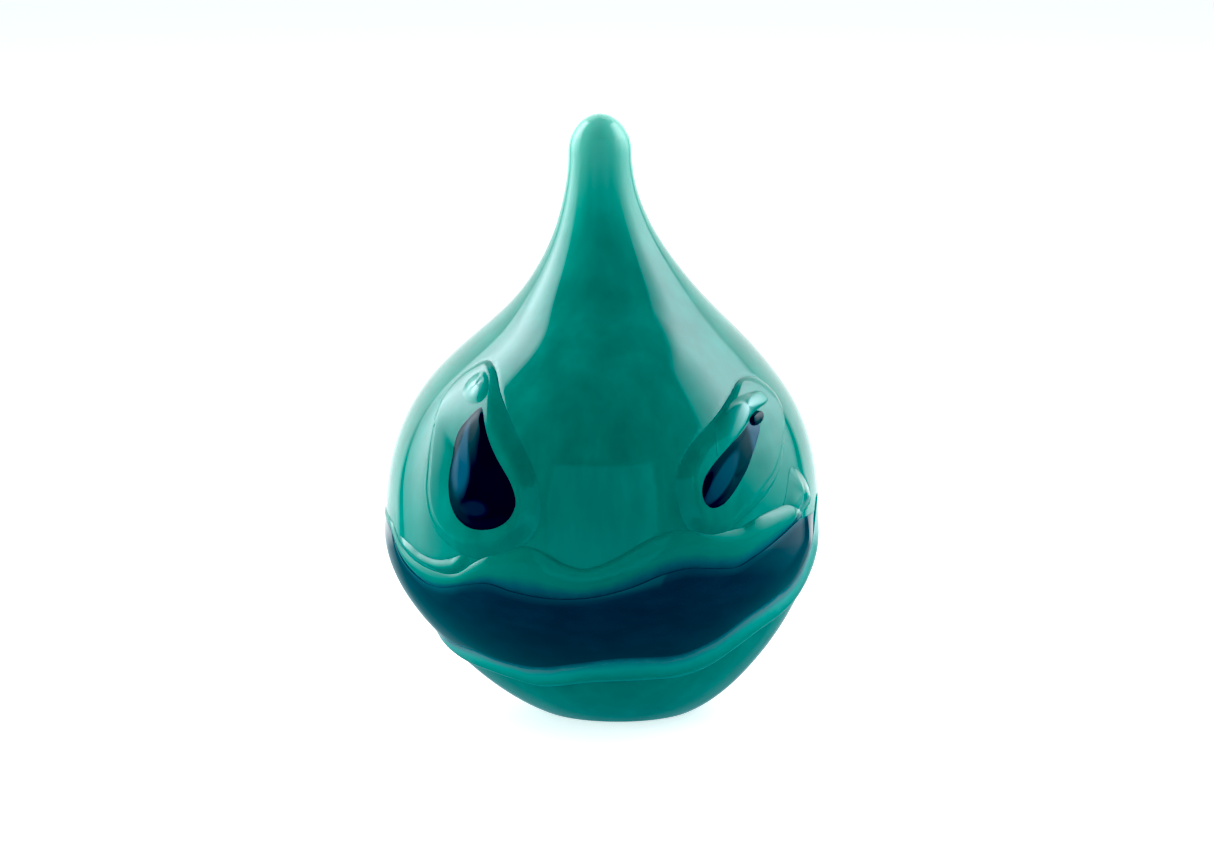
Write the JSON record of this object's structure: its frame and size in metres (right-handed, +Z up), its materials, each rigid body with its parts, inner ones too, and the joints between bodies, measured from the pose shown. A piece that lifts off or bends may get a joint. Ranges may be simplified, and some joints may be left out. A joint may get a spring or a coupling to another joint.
{
  "type": "glass drop figurine",
  "caption": "Solid teal glass drop with a drawn-out tip, two raised teardrop eyes and a wide wavy navy mouth band between two lips, standing on a small ground flat",
  "frame": {"origin": "middle of the ground flat that the drop stands on", "axes": "+Z up, the face looks towards -Y, +X to the viewer's right; the tip leans slightly towards -X"},
  "size_m": [0.0612, 0.0607, 0.083],
  "materials": {
    "teal_glass": "fire-polished opaque glass",
    "pale_teal_glass": "fire-polished opaque glass",
    "navy_glass": "fire-polished opaque glass",
    "ink_glass": "fire-polished opaque glass"
  },
  "bodies": {
    "root": {"core_drop": "teal_glass", "mouth_band": "navy_glass", "upper_lip": "pale_teal_glass", "lower_lip": "pale_teal_glass", "left_eye_pad": "teal_glass", "left_pupil": "ink_glass", "left_eye_curl": "pale_teal_glass", "right_eye_pad": "teal_glass", "right_pupil": "ink_glass", "right_eye_curl": "pale_teal_glass", "right_pupil_dot": "ink_glass", "right_mouth_knob": "teal_glass", "left_mouth_bead": "pale_teal_glass"}
  },
  "joints": []
}
